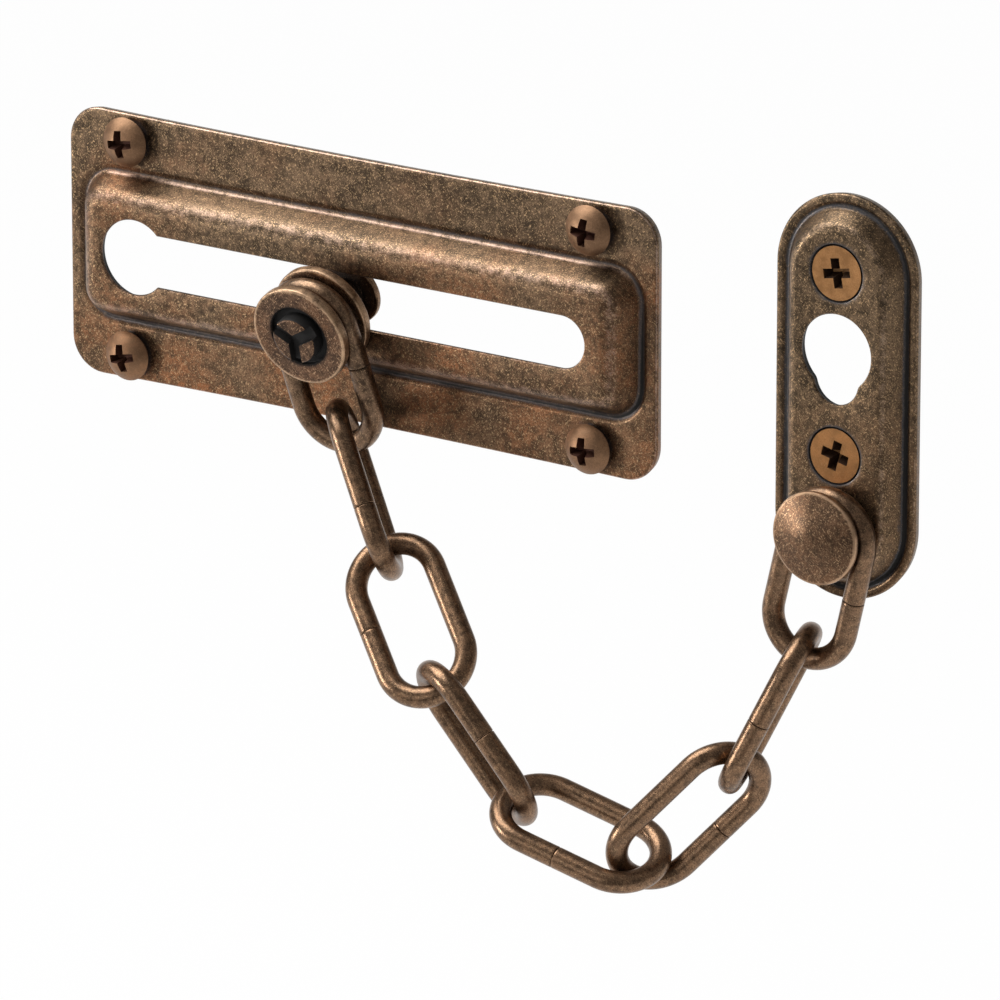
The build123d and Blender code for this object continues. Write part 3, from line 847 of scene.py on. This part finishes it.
for skin in anchor_skins:
    skin[0][:, [0, 2]] += anchor_place

anchor_bronze = antique_bronze(
    "anchor_bronze",
    low=paint(66, 55, 43),
    high=paint(116, 95, 74),
    flecks=paint(200, 165, 124),
    copper=paint(122, 94, 70),
    patina_shade_colour=paint(62, 62, 66),
    bright=paint(234, 202, 176),
    gloss=0.42,
    patina_shade_gloss=0.36,
    grain=0.6,
)
anchor_nodes = ["anchor_plate"]
set_piece("anchor_plate_pressed", anchor_skins, anchor_bronze, "plates", anchor_nodes)


# Anchor screws: two countersunk wood screws of the same size, sunk a hair below the field. Their
# flat heads are a clearer golden bronze, with painted shade in the cross recesses.
flat_length = 12.5
flat_sink = 0.1
cone_depth = 1.65
thread_start = 2.15


def flat_head_painted_shade(middle):
    """Painted shade in the recess and down the cone of the head."""
    return np.clip((field_face - flat_sink + middle[:, 1] - 0.05) / 0.1, 0, 1)


golden_bronze = antique_bronze(
    "golden_bronze",
    low=paint(142, 102, 64),
    high=paint(170, 124, 80),
    flecks=paint(182, 138, 94),
    copper=paint(164, 114, 70),
    patina_shade_colour=paint(38, 20, 14),
    bright=paint(206, 166, 122),
    gloss=0.46,
    patina_shade_gloss=0.7,
    grain=0.2,
    speckle=0.4,
)
flat_places = anchor_place + screw_drops
thread_length = flat_length - field_face + flat_sink + thread_start
flat_heads = [head_skin("anchor_screws", field_face - flat_sink - cone_depth, flat_head_painted_shade)]
flat_threads = [thread_skin(place, -thread_start, thread_length) for place in flat_places]
flat_nodes = ["anchor_screws"]
set_piece(
    "anchor_screw_heads", flat_heads, golden_bronze, "plates", flat_nodes, head_crisp
)
set_piece(
    "anchor_screw_threads", flat_threads, golden_bronze, "plates", [], thread_crisp
)


# Knob: a turned post with a low conical head and a thin rolled rim, set through the anchor plate
# and riveted over behind its sheet. The last link hooks over the post behind the head.
knob_place = np.array([anchor_place[0], 0.0, anchor_place[1] + knob_drop])
knob_radius = 5.65
knob_back = 7.4
knob_edge = 8.2
post_radius = 1.5
rivet_radius = 3.5
rivet_back = 1.4
knob_slope = np.radians(17.0)
tip_radius = 2.2
tip_bend = tip_radius / np.sin(knob_slope)
tip_edge = knob_edge + (knob_radius - tip_radius) * np.tan(knob_slope)

# Third column: painted shade on the post under the head; fourth: wear and painted highlight.
knob_profile = [(0.0, rivet_back, 0.4, 0.0), (3.1, rivet_back, 0.4, 0.1)]
knob_profile += [(3.4, rivet_back + 0.1, 0.3, 0.3), (rivet_radius, rivet_back + 0.35, 0.3, 0.3)]
knob_profile += [(rivet_radius, field_back, 0.6, 0.0), (post_radius, field_back, 0.9, 0.0)]
knob_profile += [(post_radius, 4.2, 0.9, 0.0), (post_radius, knob_back - 0.4, 0.7, 0.0)]
knob_profile += [(1.7, knob_back, 0.7, 0.0), (4.6, knob_back, 0.3, 0.0)]
knob_profile += [(5.35, knob_back, 0.1, 0.3), (5.58, knob_back + 0.07, 0.0, 0.6)]
knob_profile += [(knob_radius, knob_back + 0.25, 0.0, 0.6), (knob_radius, knob_edge - 0.22, 0.0, 0.7)]
knob_profile += [(5.6, knob_edge - 0.06, 0.0, 0.95), (5.45, knob_edge + 0.04, 0.0, 0.8)]
knob_profile += [(5.2, knob_edge + 0.13, 0.15, 0.2)]
for radius in np.linspace(4.8, tip_radius, 5):
    height = knob_edge + (knob_radius - radius) * np.tan(knob_slope)
    knob_profile.append((radius, height, 0.0, 0.05))
for lean in np.linspace(knob_slope, 0, 8)[1:]:
    height = tip_edge + tip_bend * (np.cos(lean) - np.cos(knob_slope))
    knob_profile.append((tip_bend * np.sin(lean), height, 0.0, 0.1))
knob_axes = (knob_place, np.array([0.0, -1.0, 0.0]), slider_side, np.array([0.0, 0.0, 1.0]))

knob_bronze = antique_bronze(
    "knob_bronze",
    low=paint(66, 52, 41),
    high=paint(110, 86, 67),
    flecks=paint(192, 156, 120),
    copper=paint(122, 88, 64),
    patina_shade_colour=paint(14, 13, 13),
    bright=paint(200, 164, 132),
    gloss=0.4,
    patina_shade_gloss=0.6,
    grain=0.4,
)
turned_knob = [turned_skin(*knob_axes, knob_profile)]
set_piece("anchor_knob_turned", turned_knob, knob_bronze, "plates", ["anchor_knob"])


# Studio: a pale floor, well below the chain, and a backdrop, both seen as white. Soft light comes
# from the left and from above, with a weak lamp in front, and the camera stands at the
# photograph's angle.
white = (1.0, 1.0, 1.0, 1.0)
floor_height = -0.2
floor_colour = (0.86, 0.86, 0.86, 1.0)
floor_white = 0.97
sky_colour = (1.0, 0.98, 0.96, 1.0)
sky_strength = 0.27
rays = ("Is Camera Ray", "Is Glossy Ray", "Is Transmission Ray")

floor_mesh = bpy.data.meshes.new("floor")
floor_corners = ((-2.0, -0.35), (2.0, -0.35), (2.0, 2.5), (-2.0, 2.5))
floor_points = [(x, y, floor_height) for x, y in floor_corners]
floor_mesh.from_pydata(floor_points, [], [(0, 1, 2, 3)])
floor = bpy.data.objects.new("floor", floor_mesh)
bpy.context.scene.collection.objects.link(floor)

floor_finish = Finish(bpy.data.materials.new("pale_floor"))
floor_finish.feed(floor_finish.shader.inputs["Base Color"], floor_colour)
floor_finish.feed(floor_finish.shader.inputs["Roughness"], 0.8)
seen = sum(floor_finish.node("ShaderNodeLightPath", output=ray) for ray in rays)
glow = floor_finish.node("ShaderNodeEmission", None, {"Color": white, "Strength": 1.0})
plain = Tone(floor_finish, floor_finish.shader.outputs[0])
surface = floor_finish.node("ShaderNodeMixShader", None, {0: seen * floor_white, 1: plain, 2: glow})
floor_finish.feed(floor_finish.tree.nodes["Material Output"].inputs["Surface"], surface)
floor_mesh.materials.append(floor_finish.owner)

bpy.context.scene.world = bpy.data.worlds.new("studio")
studio = Finish(bpy.context.scene.world, "Background", "Generated")
studio.feed(studio.shader.inputs["Color"], sky_colour)
studio.feed(studio.shader.inputs["Strength"], sky_strength)
to_camera = (0.51624, -0.79501, 0.31851)
lines = {0: studio.place, 1: tuple(-part for part in to_camera)}
facing = studio.node("ShaderNodeVectorMath", {"operation": "DOT_PRODUCT"}, lines, "Value")
behind = facing.eased(0.7, 0.9)
in_view, in_gloss, in_glass = (studio.node("ShaderNodeLightPath", output=ray) for ray in rays)
seen = in_view + (in_gloss + in_glass) * behind
backdrop = studio.node("ShaderNodeBackground", None, {"Color": white, "Strength": 1.0})
lit = Tone(studio, studio.shader.outputs[0])
sky = studio.node("ShaderNodeMixShader", None, {0: seen, 1: lit, 2: backdrop})
studio.feed(studio.tree.nodes["World Output"].inputs["Surface"], sky)


def soft_lamp(name, place, target, size, power):
    """A square soft box that faces its target."""
    lamp = bpy.data.lights.new(name, "AREA")
    lamp.size = size
    lamp.energy = power
    box = bpy.data.objects.new(name, lamp)
    box.location = place
    box.rotation_euler = (Vector(place) - Vector(target)).to_track_quat("Z", "Y").to_euler()
    bpy.context.scene.collection.objects.link(box)


lamp_target = (0.02, 0.0, -0.02)
soft_lamp("left_box", (-0.8, -0.62, 0.0), lamp_target, size=0.24, power=4.6)
soft_lamp("top_box", (-0.45, -0.14, 0.7), lamp_target, size=0.7, power=9.0)
soft_lamp("front_box", (-0.1, -1.1, 0.2), lamp_target, size=0.6, power=1.2)

view_target = Vector((0.019116, 0.0, -0.02312))
view_distance = 1.2871
away = Vector(to_camera).normalized()
camera = bpy.data.cameras.new("photograph")
camera.lens = 388.66
camera.sensor_width = 36.0
viewer = bpy.data.objects.new("photograph", camera)
viewer.location = view_target + away * view_distance
viewer.rotation_euler = away.to_track_quat("Z", "Y").to_euler()
bpy.context.scene.collection.objects.link(viewer)
bpy.context.scene.camera = viewer
bpy.context.scene.view_settings.view_transform = "Standard"
